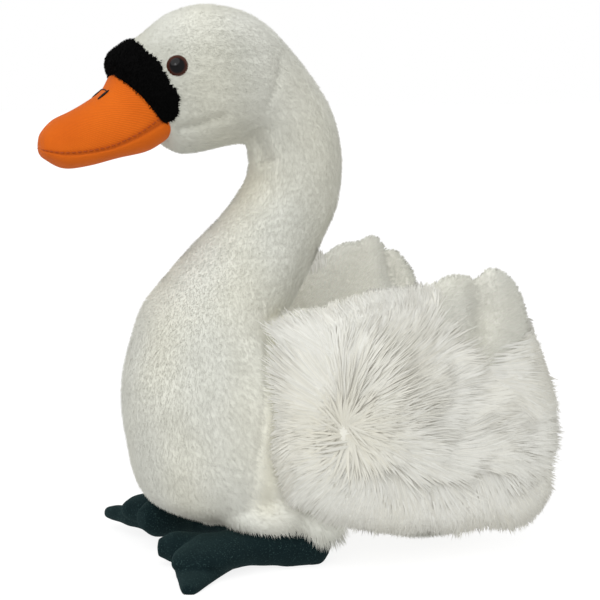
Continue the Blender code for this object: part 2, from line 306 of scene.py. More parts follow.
def twillMaterial():
    # Polyester twill, woven with a diagonal rib. The rib shows as fine slanting lines, the
    # raised threads a little lighter, under the faint satin sheen of filament yarn.
    material, tree, shader = newMaterial("orange polyester twill", Roughness=0.7,
                                         Sheen_Weight=0.05, Sheen_Roughness=0.4,
                                         Specular_IOR_Level=0.12)
    cloth = addNode(tree, "UVMap", uv_map="clothMap")
    place = addNode(tree, "TexCoord").outputs["Object"]
    groove = addNode(tree, "Attribute", attribute_name="groove").outputs["Fac"]
    ribPitch = 1.1    # mm; the real rib is 0.6 mm, drawn coarser so that it shows
    rib = addNode(tree, "TexWave",
                  {"Vector": cloth, "Scale": 0.5 / ribPitch, "Distortion": 0.5, "Detail": 1.0,
                   "Detail Scale": 1.5}, bands_direction="DIAGONAL").outputs["Fac"]
    fade = addNode(tree, "TexNoise", {"Vector": place, "Scale": perMetre(22), "Detail": 3.0})
    tint = addNode(tree, "Mix", {"Factor": fade, "A": hexLinear("#db6311"),
                                 "B": hexLinear("#ee7418")}, data_type="RGBA")
    ribbed = addNode(tree, "MapRange", {"Value": rib, "To Min": 0.88, "To Max": 1.04})
    colour = addNode(tree, "VectorMath", {0: tint, "Scale": ribbed}, operation="SCALE")
    # painted shade: the colour darkens along the seam's groove
    seamed = addNode(tree, "Mix", {"Factor": groove, "A": colour, "B": hexLinear("#a8480f")},
                     data_type="RGBA")
    cover(tree, shader, seamed, rib, strength=0.35, depth=0.3)
    return material


def feltMaterial():
    # Brushed polyester felt. Its short nap swallows light, with a scatter of paler fibres
    # and a dusty bloom where the cloth turns away.
    material, tree, shader = newMaterial(
        "dark green brushed felt", Roughness=0.95, Sheen_Weight=0.12, Sheen_Roughness=0.6,
        Sheen_Tint=hexLinear("#7ba6a4"), Specular_IOR_Level=0.08)
    place = addNode(tree, "TexCoord").outputs["Object"]
    cloud = addNode(tree, "TexNoise",
                    {"Vector": place, "Scale": perMetre(9), "Detail": 4.0, "Roughness": 0.6})
    fibre = addNode(tree, "TexNoise", {"Vector": place, "Scale": perMetre(0.8), "Detail": 2.0})
    base = addNode(tree, "Mix", {"Factor": cloud, "A": hexLinear("#0b181b"),
                                 "B": hexLinear("#142427")}, data_type="RGBA")
    fleck = addNode(tree, "MapRange",
                    {"Value": fibre, "From Min": 0.58, "From Max": 0.74, "To Max": 0.6})
    colour = addNode(tree, "Mix", {"Factor": fleck, "A": base, "B": hexLinear("#3f5654")},
                     data_type="RGBA")
    cover(tree, shader, colour, fibre, strength=0.5, depth=0.4)
    return material


def eyeMaterial():
    # Moulded acrylic with colour behind it: a black pupil in a dark red-brown ring, under a
    # clear glossy dome that mirrors the lights.
    material, tree, shader = newMaterial("acrylic eye", Roughness=0.14, IOR=1.45,
                                         Specular_IOR_Level=0.3)
    radial = addNode(tree, "Attribute", attribute_name="radial").outputs["Fac"]
    ramp = addNode(tree, "ValToRGB", {"Fac": radial})
    stops = ramp.color_ramp.elements
    stops[0].position = 0.62
    stops[1].position = 0.70
    stops.new(0.92)
    stops.new(1.0)
    for stop, colour in zip(stops, ("#030304", "#33160d", "#4e2312", "#2a120c")):
        stop.color = hexLinear(colour)
    cover(tree, shader, ramp)
    return material


def threadMaterial(name, colour, roughness):
    # Twisted sewing thread: a fine slanting twist, duller than the cloth it holds.
    material, tree, shader = newMaterial(name, Roughness=roughness, Specular_IOR_Level=0.3)
    place = addNode(tree, "TexCoord").outputs["Object"]
    twist = addNode(tree, "TexNoise", {"Vector": place, "Scale": perMetre(0.5), "Detail": 1.0})
    tint = addNode(tree, "MapRange", {"Value": twist, "To Min": 0.7, "To Max": 1.2})
    cover(tree, shader, addNode(tree, "VectorMath", {0: hexLinear(colour)[:3], "Scale": tint},
                                operation="SCALE"))
    return material


whitePlush = plushMaterial("white polyester plush", "#f4f6ee", "#c6c8be", "#eeebd4",
                           rootShade=0.95, pileSize=1.1, paintedGlow=0.09)
longPile = plushMaterial("long white polyester pile", "#ebece7", "#d0d1cb", "#e4dfca",
                         rootShade=0.95, pileSize=1.1, paintedGlow=0.13)
blackPlush = plushMaterial("short black plush", "#060606", "#030303", "#050505",
                           rootShade=0.7, pileSize=0.8, sheen=0.0)
orangeTwill = twillMaterial()
greenFelt = feltMaterial()
acrylicEye = eyeMaterial()
orangeThread = threadMaterial("orange sewing thread", "#b8521a", 0.7)
blackThread = threadMaterial("black embroidery thread", "#0b0b0c", 0.55)
print("materials made")



def scatter(points, faces, density):
    # places spread over the faces, density being how many stand on a square millimetre at
    # each point; gives the face of each place and its shares of the face's first 3 corners
    faces = np.vstack([faces[:, [0, 1, 2]], faces[:, [0, 2, 3]]]) if faces.shape[1] == 4 else faces
    corners = points[faces]
    area = np.linalg.norm(np.cross(corners[:, 1] - corners[:, 0],
                                   corners[:, 2] - corners[:, 0]), axis=1) / 2
    total = np.cumsum(area * density[faces].mean(axis=1))
    count = int(total[-1])
    picks = np.searchsorted(total, (np.arange(count) + rng.random(count)) * total[-1] / count)
    shares = rng.random((count, 2))
    over = shares.sum(axis=1) > 1
    shares[over] = 1 - shares[over]
    shares = np.column_stack([1 - shares.sum(axis=1), shares])
    return faces[np.minimum(picks, len(faces) - 1)], shares


def sample(values, places):
    # a value kept for each point, read at scattered places
    faces, shares = places
    if values.ndim == 1:
        return (values[faces] * shares).sum(axis=1)
    return (values[faces] * shares[:, :, None]).sum(axis=1)


def sow(points, faces, normals, density):
    # the roots of tufts scattered over a skin, its normal at each, and their places on it
    places = scatter(points, faces, density)
    return sample(points, places), unit(sample(normals, places)), places


def straight(length, lift, sink):
    # the look of short plush: tufts of one segment that neither sway nor droop
    return {"segments": 1, "length": length, "lift": (lift, lift), "sink": sink,
            "sway": np.zeros(len(length)), "droop": 0.0}


def grow(roots, normals, lie, look):
    # The middle line of each tuft, from sink below the skin: it starts along
    # lie + lift * normal, its lift goes from the first to the last value, it sways about
    # the normal and droops towards the floor. Lines come back as (tuft, place along it, xyz).
    segments = look["segments"]
    lie = unit(lie - normals * np.minimum((lie * normals).sum(axis=1), 0)[:, None])
    side = unit(np.cross(normals, lie))
    line = [roots - normals * np.reshape(look["sink"], (-1, 1))]
    for k in range(segments):
        s = (k + 0.5) / segments
        turn = (look["sway"] * s)[:, None]
        lift = look["lift"][0] + (look["lift"][1] - look["lift"][0]) * s ** 0.7
        heading = lie * np.cos(turn) + side * np.sin(turn) + normals * np.reshape(lift, (-1, 1))
        heading[:, 2] -= look["droop"] * s
        line.append(line[-1] + unit(heading) * (look["length"] / segments)[:, None])
    return np.stack(line, axis=1)


def clumped(lines, size, pull):
    # tufts whose roots share a cell of about this size lean their tips together
    roots = lines[:, 0]
    warped = roots + size * 0.4 * np.sin(roots[:, [1, 2, 0]] * 4.1 / size)
    _, cell = np.unique(np.floor(warped / size).astype(int), axis=0, return_inverse=True)
    cell = cell.ravel()
    reach = lines[:, -1] - roots
    mean = np.zeros((cell.max() + 1, 3))
    np.add.at(mean, cell, lines[:, -1])
    mean /= np.bincount(cell)[:, None]
    shift = (mean[cell] - lines[:, -1]) * pull
    s = np.linspace(0, 1, lines.shape[1])[None, :, None] ** 1.4
    moved = lines + shift[:, None] * s
    scale = np.linalg.norm(reach, axis=1) / np.maximum(
        np.linalg.norm(moved[:, -1] - roots, axis=1), 1e-6)
    return roots[:, None] + (moved - roots[:, None]) * np.minimum(scale, 1.1)[:, None, None]


def tuftMesh(lines, normals, width, belly):
    # Each tuft is a closed three-sided spike round its line: two low edges and a ridge on
    # its outer side. Its half width is width * (1 - s)^0.5 * (1 + belly * sin(pi s)).
    count, rings = lines.shape[0], lines.shape[1] - 1
    forward = unit(np.diff(lines, axis=1))
    side = unit(np.cross(normals[:, None], forward))
    ridge = np.cross(forward, side)
    s = np.arange(rings) / rings
    half = width[:, None] * (1 - s) ** 0.5 * (1 + belly * np.sin(np.pi * s))
    half = half[..., None]
    ring = np.stack([lines[:, :-1] - side * half, lines[:, :-1] + ridge * half * 0.8,
                     lines[:, :-1] + side * half], axis=2)
    points = np.concatenate([ring.reshape(count, rings * 3, 3), lines[:, -1:]], axis=1)
    # outward directions that round the spike's shading
    lean = np.stack([-side, ridge, side], axis=2).reshape(count, rings * 3, 3)
    lean = np.concatenate([lean, ridge[:, -1:]], axis=1)
    template = [(0, 1, 2)]
    for k in range(rings - 1):
        for i in range(3):
            a, b = k * 3 + i, k * 3 + (i + 1) % 3
            template += [(a, a + 3, b + 3), (a, b + 3, b)]
    last = (rings - 1) * 3
    template += [(last + i, last + 3, last + (i + 1) % 3) for i in range(3)]
    each = points.shape[1]
    faces = np.array(template)[None] + (np.arange(count) * each)[:, None, None]
    along = np.append(np.repeat(s, 3), 1.0)
    return points, lean, faces, along


def makeCoat(name, lines, normals, width, material, spread, tone, warmth, belly=0.3,
             soften=0.75, floor=0.25, shade=None):
    # Tufts as pieces of trisPerPiece or less. spread is each root's (u, v) on the unwrap of
    # the skin. soften turns the shading from the tuft's own towards the skin's normal, or
    # shade, as light scattered among fibres does. No tuft goes lower than floor.
    points, lean, faces, along = tuftMesh(lines, normals, width, belly)
    points[..., 2] = np.maximum(points[..., 2], floor)
    count, each = points.shape[:2]
    perPiece = trisPerPiece // faces.shape[1]
    patch = np.column_stack([np.append(np.tile([-1, 0, 1], each // 3), 0), 2 * along - 1])
    maps = spread[:, None] + patch[None] * patchSize / 2
    shade = normals if shade is None else shade
    pieces = []
    for start in range(0, count, perPiece):
        part = slice(start, min(start + perPiece, count))
        size = part.stop - part.start
        values = {"tone": np.repeat(tone[part], each), "along": np.tile(along, size),
                  "warmth": np.repeat(warmth[part], each)}
        label = f"{name}_{len(pieces) + 1}" if count > perPiece else name
        piece = makePiece(label, points[part].reshape(-1, 3),
                          [faces[:size].reshape(-1, 3)], material, values)
        setMap(piece, maps[part].reshape(-1, 2))
        shading = unit(shade[part, None] * soften + lean[part] * (1 - soften))
        piece.data.normals_split_custom_set_from_vertices(shading.reshape(-1, 3))
        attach(piece, "root")
        pieces.append(piece)
    print(name, "coat:", count, "tufts,", count * faces.shape[1], "triangles")
    return pieces



# Sections of the body's line from crown to belly, each in the slanted plane through an
# under and an over point: under y, under z, over y, over z, half width
headRows = [
    (-96.5, 243.0, -102.5, 259.5, 8.0), (-90.0, 236.0, -106.3, 265.5, 15.0),
    (-83.0, 229.0, -105.3, 271.0, 20.5), (-76.5, 222.5, -99.5, 275.5, 25.0),
    (-70.5, 218.6, -88.5, 282.3, 28.5), (-63.5, 218.0, -73.5, 293.0, 32.0),
    (-55.0, 219.5, -51.5, 298.0, 34.0), (-44.5, 221.8, -28.5, 292.5, 33.5),
]
neckRows = [
    (-31.0, 223.5, -7.0, 274.5, 29.5), (-29.6, 219.0, 8.5, 255.5, 27.2),
    (-29.0, 213.5, 19.5, 235.5, 26.0), (-29.0, 207.0, 23.2, 213.0, 25.7),
    (-33.0, 199.0, 21.5, 192.5, 25.8), (-42.0, 187.5, 14.0, 174.0, 26.6),
    (-58.5, 171.0, 5.0, 155.0, 29.5), (-76.0, 153.0, -5.0, 138.0, 35.5),
]
breastRows = [
    (-89.0, 134.0, -14.0, 122.5, 43.0), (-96.8, 110.0, 8.0, 101.0, 51.5),
    (-100.2, 90.0, 20.0, 84.0, 56.5), (-98.3, 68.0, 22.0, 62.0, 57.5),
    (-94.0, 46.0, 15.0, 42.0, 55.0), (-85.5, 30.0, 4.0, 26.0, 46.5),
    (-65.0, 20.5, -16.0, 18.5, 27.0),
]
# upright sections of the trunk: y, bottom z, top z, half width
trunkRows = [
    (-60.0, 17.0, 140.0, 55.0), (-36.0, 16.0, 134.0, 57.0), (-16.0, 15.0, 126.0, 58.5),
    (15.0, 11.5, 120.5, 58.5), (45.0, 4.0, 118.0, 56.0), (73.0, -1.2, 112.5, 50.0),
    (97.0, 3.0, 102.0, 40.0), (114.0, 17.0, 88.0, 26.0), (124.0, 35.0, 72.0, 12.0),
]
tailRows = [
    (108.0, 36.0, 84.0, 90.0, 33.0), (122.0, 50.0, 94.0, 99.0, 34.0),
    (130.0, 66.0, 101.0, 103.5, 32.5), (134.5, 82.0, 109.0, 109.0, 29.0),
    (135.0, 98.0, 117.0, 115.0, 23.0), (132.0, 110.0, 123.5, 119.0, 14.0),
]
body = {
    "fullness": 2.15,    # 2 is an oval section, more is fuller
    "voxel": 1.7,
    "smoothing": 10,
    "skinDepth": 0.38,    # how deep the skin lies, as a share of the pile's length
    "thighCentre": (37.0, -26.0, 29.0),
    "thighHalf": (19.0, 34.0, 15.5),
    "haunchCentre": (47.0, -3.0, 22.5),    # the fluffy lobe that hangs over the heel
    "haunchHalf": (15.0, 16.0, 14.0),
    "heel": (-3.0, 19.0),    # where its pile is longest: y, z
    "heelReach": (17.0, 15.0),    # and how far about that it stays long
    # the line that the pile flows along, from the bill's root to the tail: y, z
    "spine": [(-100, 256), (-84, 255), (-65, 257), (-45, 258), (-23, 250), (-9, 236),
              (-4, 222), (-4, 208), (-7, 194), (-15, 180), (-27, 163), (-40, 145),
              (-49, 127), (-50, 108), (-44, 88), (-32, 72), (-12, 64), (14, 62), (44, 60),
              (73, 56), (97, 55), (113, 62), (118, 78), (122, 96), (128, 116)],
    "flowReach": 13.0,    # how far along the spine a place looks for its direction
    # by how far along the spine a place is, in mm: the pile's length, and its painted light and shade
    "pile": [(0, 2.8), (25, 3.0), (60, 3.6), (110, 4.0), (190, 4.4), (240, 5.0)],
    "paintedTone": [(0, 0.05), (45, 0.12), (90, 0.4), (130, 0.4), (175, 0.52), (240, 0.5), (300, 0.48)],
    # and how many tufts stand on a square millimetre, and half their width
    "perSquare": [(0, 2.3), (60, 2.1), (110, 1.8), (190, 1.6), (260, 1.2)],
    "tuft": [(0, 0.34), (60, 0.4), (190, 0.46)],
    "seam": [(-23, 130), (-31, 93), (-36, 62), (-38, 36)],    # the worn strip: y, z
}


def sectionTube(rows, points=64, steps=8):
    # each ring is centre + half rise * sin^p + half width * cos^p, p = 2 / fullness
    rows = catmullRom(rows, steps)
    angle = np.linspace(0, 2 * np.pi, points, endpoint=False)
    power = 2 / body["fullness"]
    rise = roundPower(np.sin(angle), power)
    across = roundPower(np.cos(angle), power)
    under, over = rows[:, None, 0:2], rows[:, None, 2:4]
    place = (under + over) / 2 + (over - under) / 2 * rise[None, :, None]
    return tube(np.dstack([rows[:, 4:5] * across, place]))


def ball(centre, half, points=40):
    # an ellipsoid from rings of latitude
    height = np.linspace(-np.pi / 2, np.pi / 2, points // 2)[1:-1]
    angle = np.linspace(0, 2 * np.pi, points, endpoint=False)
    x = np.cos(height)[:, None] * np.cos(angle) * half[0]
    y = np.cos(height)[:, None] * np.sin(angle) * half[1]
    z = np.repeat(np.sin(height)[:, None] * half[2], points, axis=1)
    return tube(np.dstack([x, y, z]) + np.array(centre))


spineLine = catmullRom(body["spine"], 8)
spineRun = unit(np.gradient(spineLine, axis=0))
spineLength = runLength(spineLine)


def bodyFlow(points):
    # for each point: the pile's direction, how far along the spine it is in mm, and its
    # angle about the spine
    direction = np.zeros_like(points)
    far = np.zeros(len(points))
    angle = np.zeros(len(points))
    for start in range(0, len(points), 20000):
        part = slice(start, start + 20000)
        gap = inPlane(points[part])[:, None] - spineLine[None]
        square = (gap ** 2).sum(axis=2)
        nearest = square.argmin(axis=1)
        weight = np.exp(-(square - square.min(axis=1, keepdims=True))
                        / (2 * body["flowReach"] ** 2))
        direction[part, 1:] = weight @ spineRun
        far[part] = spineLength[nearest]
        run = spineRun[nearest]
        off = gap[np.arange(len(nearest)), nearest]
        angle[part] = np.arctan2(points[part, 0], off[:, 0] * -run[:, 1] + off[:, 1] * run[:, 0])
    return unit(direction), far, angle


def overHeel(points):
    # 1 on the long-haired lobe over each heel, fading over about 20 mm
    gap = (((inPlane(points) - body["heel"]) / body["heelReach"]) ** 2).sum(axis=1)
    return np.exp(-gap ** 1.5) * smoothStep(np.abs(points[:, 0]), 30, 40)


def bodyPile(points, far):
    # the pile's length: short on the face, longer down the neck, longest on the lower body
    low = 1 - smoothStep(points[:, 2], 16, 38)
    return lineAt(far, body["pile"]) + (2.5 * low + 4.5 * overHeel(points)) * (far > 200)


creases = [
    # line (y, z), least half width x where it shows, depth, half breadth
    {"line": [(-78, 231), (-70, 232.5), (-60, 236), (-47, 240)], "from": 8, "depth": 2.0,
     "breadth": 2.8},
    {"line": [(-17, 275), (-22, 259), (-25.5, 250.5), (-29, 243)], "from": 4, "depth": 0.9,
     "breadth": 2.4},
    {"line": [(-33, 231), (-24, 211)], "from": 9, "depth": 3.0, "breadth": 4.0},
    {"line": [(-31, 128), (-39, 93), (-44, 62), (-46, 34)], "from": 20, "depth": 0.8,
     "breadth": 1.6},
]


def paintedLightAndShade(points, far):
    # painted light and shade on the pile: painted shade deepest on the face, lessening down the neck,
    # painted light on the crown and nape, and between the side seam and the wing, where the wing's
    # shade falls
    x, y, z = points.T
    crown = smoothStep(z, 272, 292)
    nape = smoothStep(y, -52, -22) * smoothStep(z, 222, 245)
    strip = np.exp(-((y + 33 - (z - 90) * 0.05) / 11) ** 2) * smoothStep(np.abs(x), 26, 38) * (z < 138)
    return np.clip(lineAt(far, body["paintedTone"]) + crown * 0.55 + strip * 0.65 + nape * 0.27, 0, 1)


def creaseDepth(points):
    # valleys along sewn or folded lines: depth * exp(-(distance / breadth)^2), fading at ends
    total = np.zeros(len(points))
    for crease in creases:
        gap, along = distanceToLine(inPlane(points), crease["line"])
        fade = smoothStep(along, 0, 0.15) * (1 - smoothStep(along, 0.85, 1))
        side = smoothStep(np.abs(points[:, 0]), crease["from"] * 0.6, crease["from"])
        total += crease["depth"] * np.exp(-(gap / crease["breadth"]) ** 2) * fade * side
    return total


def seamWarmth(points):
    # how yellowed the pile is: a flat-worn strip behind the side seam, and faint patches
    strip, _ = distanceToLine(inPlane(points), body["seam"])
    band = np.exp(-(strip / 6.5) ** 2) * (np.abs(points[:, 0]) > 25)
    nook = np.exp(-((points[:, 1] + 28) ** 2 + (points[:, 2] - 205) ** 2) / 16 ** 2)
    return np.clip(0.4 * band + 0.3 * nook + 0.18 * waves(points, 46, 5) + 0.1, 0, 1)


def makeBodySkin():
    # the solids' own shape as one volume, drawn in by the coat's depth
    shells = [sectionTube(headRows + neckRows + breastRows),
              sectionTube([(y, low, y, high, half) for y, low, high, half in trunkRows]),
              sectionTube(tailRows)]
    for part in ("thigh", "haunch"):
        x, y, z = body[part + "Centre"]
        shells += [ball((side * x, y, z), body[part + "Half"]) for side in (1, -1)]
    points, faces = mergedShape(shells, body["voxel"], body["smoothing"])
    normals = vertexNormals(points, faces)
    _, far, _ = bodyFlow(points)
    depth = bodyPile(points, far) * body["skinDepth"]
    points = points - normals * (depth + creaseDepth(points))[:, None]
    points += normals * (0.45 * waves(points, 31, 3))[:, None]    # the stuffing's lumps
    points[:, 2] = np.maximum(points[:, 2], 1.6)    # room for the pile that it sits on
    return points, faces


bodyPoints, bodyFaces = makeBodySkin()
bodyNormals = vertexNormals(bodyPoints, bodyFaces)
bodySkin = makePiece("bodySkin", bodyPoints, [bodyFaces], whitePlush,
                     {"tone": paintedLightAndShade(bodyPoints, bodyFlow(bodyPoints)[1]),
                      "along": 0.7, "warmth": seamWarmth(bodyPoints)})
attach(bodySkin, "root")
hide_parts("head", "neck_upper", "neck_lower", "breast", "trunk", "tail",
            "leg_left", "leg_right")
print("body skin:", len(bodyPoints), "points")



patch = {
    # rear edge of the black panel, from the brow down to the corner of the bill: y, z
    "edge": [(-94, 279.5), (-91.6, 274.6), (-86.8, 270), (-84.5, 265.8), (-82.4, 259.5),
             (-79.2, 255.5), (-76.9, 250.2), (-76.3, 241.9), (-77.8, 237.7), (-81.4, 235.5)],
    "headEnd": -60,    # only what is ahead of this y can carry it
    "proud": 1.7,    # how far its backing stands off the white skin
    "pile": 1.9,
    "perSquare": 2.3,
}


def patchReach(points):
    # how far ahead of the panel's rear edge each point is, in mm; negative is outside
    edge = np.array(patch["edge"])[::-1]
    z = points[:, 2]
    ahead = np.interp(z, edge[:, 1], edge[:, 0]) - points[:, 1]
    wobble = 0.8 * waves(points, 6, 9)
    limit = np.minimum(z - edge[0, 1], edge[-1, 1] + 1 - z)
    return np.minimum(ahead + wobble, limit)


def makePatch():
    # the head's own surface ahead of the edge, lifted and turned in at its rim
    reach = patchReach(bodyPoints)
    onHead = bodyPoints[bodyFaces][:, :, 1].max(axis=1) < patch["headEnd"]
    keep = (reach[bodyFaces] > -1.2).all(axis=1) & onHead
    used, index = np.unique(bodyFaces[keep], return_inverse=True)
    faces = index.reshape(-1, 4)
    lift = patch["proud"] * smoothStep(reach[used], -1.0, 1.2) - 0.4
    points = bodyPoints[used] + bodyNormals[used] * lift[:, None]
    normals = vertexNormals(points, faces)
    piece = makePiece("facePatch", points, [faces], blackPlush,
                      {"tone": 0.4, "along": 0.3, "warmth": 0.0})
    shell = piece.modifiers.new("backing", "SOLIDIFY")
    shell.thickness = 1.2 * mm
    shell.offset = -1
    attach(piece, "root")
    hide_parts("face_patch")
    roots, normal, _ = sow(points, faces, normals,
                           np.where(reach[used] > 0, patch["perSquare"], 0.0))
    size = len(roots)
    flow, far, angle = bodyFlow(roots)
    lie = unit(flow + 0.5 * rng.normal(size=roots.shape))
    look = straight(patch["pile"] * rng.uniform(0.75, 1.1, size), 1.3, 0.3)
    lines = clumped(grow(roots, normal, lie, look), 1.6, 0.5)
    makeCoat("facePile", lines, normal, rng.uniform(0.3, 0.5, size), blackPlush,
             bodyMap(far, angle), rng.random(size), np.zeros(size), soften=0.5)


def bodyMap(far, angle):
    # the unwrap of the body: along the spine, and round it
    return np.column_stack([0.02 + 0.96 * far / spineLength[-1],
                            0.5 + 0.48 * angle / np.pi])


makePatch()



def makeBodyPile():
    # dense straight tufts over the whole body, thinner and shorter on the face
    x, y, z = bodyPoints.T
    density = lineAt(bodyFlow(bodyPoints)[1], body["perSquare"])
    behindWing = (np.abs(x) > 40) & (y > -8) & (y < 105) & (z < 100)
    density = np.where(behindWing, 0.35, density)
    underPatch = (patchReach(bodyPoints) > 0.6) & (y < patch["headEnd"])
    density = np.where(underPatch, 0.0, density)
    roots, normal, _ = sow(bodyPoints, bodyFaces, bodyNormals, density)
    order = np.argsort(bodyFlow(roots)[1], kind="stable")    # so that each piece is one stretch
    roots, normal = roots[order], normal[order]
    size = len(roots)
    flow, far, angle = bodyFlow(roots)
    stray = 0.35 * waves(roots, 19, 21)[:, None] * np.cross(normal, flow)
    # near the floor and over the heels the pile hangs and lies flatter
    hang = np.clip(overHeel(roots) + 0.6 * (1 - smoothStep(roots[:, 2], 14, 34)), 0, 1)[:, None]
    lie = unit(flow * (1 - hang) + np.array([0, 0.2, -1]) * hang + stray
               + 0.22 * rng.normal(size=roots.shape))
    pile = bodyPile(roots, far)
    look = straight(pile * rng.uniform(0.85, 1.0, size), 1.1 - 0.6 * hang[:, 0],
                    pile * body["skinDepth"])
    lines = clumped(clumped(grow(roots, normal, lie, look), 6.0, 0.12), 2.4, 0.15)
    width = lineAt(far, body["tuft"]) * rng.uniform(0.8, 1.2, size)
    makeCoat("bodyPile", lines, normal, width, whitePlush,
             bodyMap(far, angle), paintedLightAndShade(roots, far) + 0.04 * rng.normal(size=size),
             seamWarmth(roots), soften=1.0)


makeBodyPile()



# upright sections of a wing, front to back: y, bottom z, top z, half thickness, waist x
wingRows = [
    (-36.0, 60.0, 92.0, 5.0, 59.0), (-30.0, 42.0, 121.0, 10.5, 63.0),
    (-14.0, 30.0, 140.0, 14.5, 67.0), (10.0, 21.0, 149.0, 16.5, 69.0),
    (38.0, 17.0, 152.0, 16.5, 70.0), (55.0, 16.0, 159.0, 15.5, 70.0),
    (67.0, 15.5, 158.5, 15.0, 70.0), (79.0, 15.0, 162.0, 14.5, 70.0),
    (92.0, 14.5, 152.5, 13.5, 70.0), (103.5, 15.0, 129.0, 12.0, 69.5),
    (114.5, 20.0, 107.0, 9.5, 69.0), (122.0, 33.0, 86.0, 6.0, 69.0),
]
wing = {
    # the middle line leans out by spread at height and by -tuck at the floor
    "height": 162.0, "tuck": 13.0, "spread": 10.0,
    "lens": 0.8,    # the power of the section's round
    # what is added to the solid's top and bottom edges, by y
    "topTrim": [(-36, 34), (-30, 10), (-14, -3), (10, -4), (30, -5), (45, -3), (100, -3),
                (110, -8), (122, -11)],
    "bottomTrim": [(-36, 6), (-20, 10), (10, 12)],
    # and to the right wing's top edge, whose tip is fuller in front
    "rightTrim": [(40, 0), (57, 1.5), (71, 4), (83, 0), (93, 5), (98, 9), (103, 5), (110, 0)],
    "whorl": (-3.0, 76.0),    # y, z that the long pile radiates from
    # upper limit of the long pile's tips: y, z
    "pileEdge": [(28, 178), (35, 163), (42, 153), (47, 144), (58, 136), (64, 128), (70, 119),
                 (79, 110), (91, 110), (103, 118), (110, 150)],
    # how the long pile is combed: y, z, and the angle it points to, 0 back and 90 up
    "strokes": [
        (-25, 140, 130), (8, 121, 112), (24, 141, 92), (39, 135, 78), (52, 140, 62),
        (18, 98, 52), (35, 99, 32), (58, 103, 18), (69, 94, 2), (92, 106, 2), (110, 100, -18),
        (110, 73, -10), (93, 69, -14), (105, 52, -26), (93, 42, -40), (82, 32, -52),
        (64, 39, -62), (47, 46, -80), (47, 30, -80), (25, 42, -86), (8, 49, -90),
        (-3, 34, -95), (-14, 50, -108), (-25, 56, -130), (-30, 67, -150), (-35, 78, -172),
        (-30, 88, 168), (-33, 108, 145), (-19, 107, 128), (-6, 107, 112), (5, 83, 28),
        (30, 79, 8), (41, 88, 20), (58, 77, 4), (53, 67, -6), (16, 72, -28), (27, 65, -32),
        (3, 64, -88), (18, 57, -82), (34, 52, -84), (49, 52, -76), (62, 52, -58)],
    # the parting that runs back from the whorl, with locks swept over it from above
    "parting": [(-5, 75), (9, 70), (19, 65), (30, 60), (47, 57), (58, 59), (80, 60)],
    "strokeReach": 12.0,    # how far off a stroke is felt
    "partingGap": 34,    # how far apart the two sides of the parting count
    "perSquare": 1.13,    # long locks on a square millimetre, away from the whorl
    "longest": 38.0,
    "twist": 0.6,    # how far the whorl turns its locks, in radians
    "shortPile": 3.6,
    "dips": {1: 70.0, -1: 83.0},    # y of the fold between the tip's two lobes, by side
    # the table of the body's side: where it starts and ends in y, z, and its step
    "tableStart": (-50, 20), "tableEnd": (6, 156), "tableStep": 2.0,
    "leastSide": 41,    # the front lies no further in than this
}
wingLine = catmullRom(wingRows, 4)


def frontShare(points):
    # 0 on the band of short plush along the front edge, which widens upwards, and 1 behind it
    return smoothStep(points[..., 1] + 36 - 0.25 * np.maximum(points[..., 2] - 70, 0), 2, 16)


def longShare(points):
    # 1 where the wing carries long pile, 0 on its short plush tip and front
    tip = smoothStep(lineAt(points[..., 1], wing["pileEdge"]) - points[..., 2], 0, 22)
    return tip * frontShare(points)


def tabledSide():
    # how far out the body's skin is on a grid of (y, z): the mean of x near each place, with
    # weights exp(-distance^2 / 2 step^2)
    near = bodyPoints[(bodyPoints[:, 0] > 18) & (bodyPoints[:, 1] > -54) & (bodyPoints[:, 1] < 8)]
    step = wing["tableStep"]
    across, up = np.meshgrid(*(np.arange(start, end, step) for start, end
                               in zip(wing["tableStart"], wing["tableEnd"])), indexing="ij")
    place = np.column_stack([across.ravel(), up.ravel()])
    square = ((place[:, None] - inPlane(near)[None]) ** 2).sum(axis=2)
    weight = np.exp(-(square - square.min(axis=1, keepdims=True)) / (2 * step ** 2))
    return (weight @ near[:, 0] / weight.sum(axis=1)).reshape(across.shape)


sideTable = tabledSide()


def bodySide(y, z):
    # read from the table, straight between its places
    i, j = (np.clip((value - start) / wing["tableStep"], 0, size - 1.001)
            for value, start, size in zip((y, z), wing["tableStart"], sideTable.shape))
    a, b = i.astype(int), j.astype(int)
    i, j = i - a, j - b
    low = sideTable[a, b] * (1 - i) + sideTable[a + 1, b] * i
    high = sideTable[a, b + 1] * (1 - i) + sideTable[a + 1, b + 1] * i
    return low * (1 - j) + high * j


def midLine(waist, z):
    # the wing leans: waist + spread t^2 above and waist - tuck t^2 below, t from -1 to 1
    t = 2 * z / wing["height"] - 1
    return waist + np.where(t > 0, wing["spread"], -wing["tuck"]) * t * t


def lobeFold(y, z, dip, breadth):
    # 1 on the fold between the tip's two lobes, which slants back as it goes down
    return np.exp(-((y - dip - (150 - z) * 0.1) / breadth) ** 2)


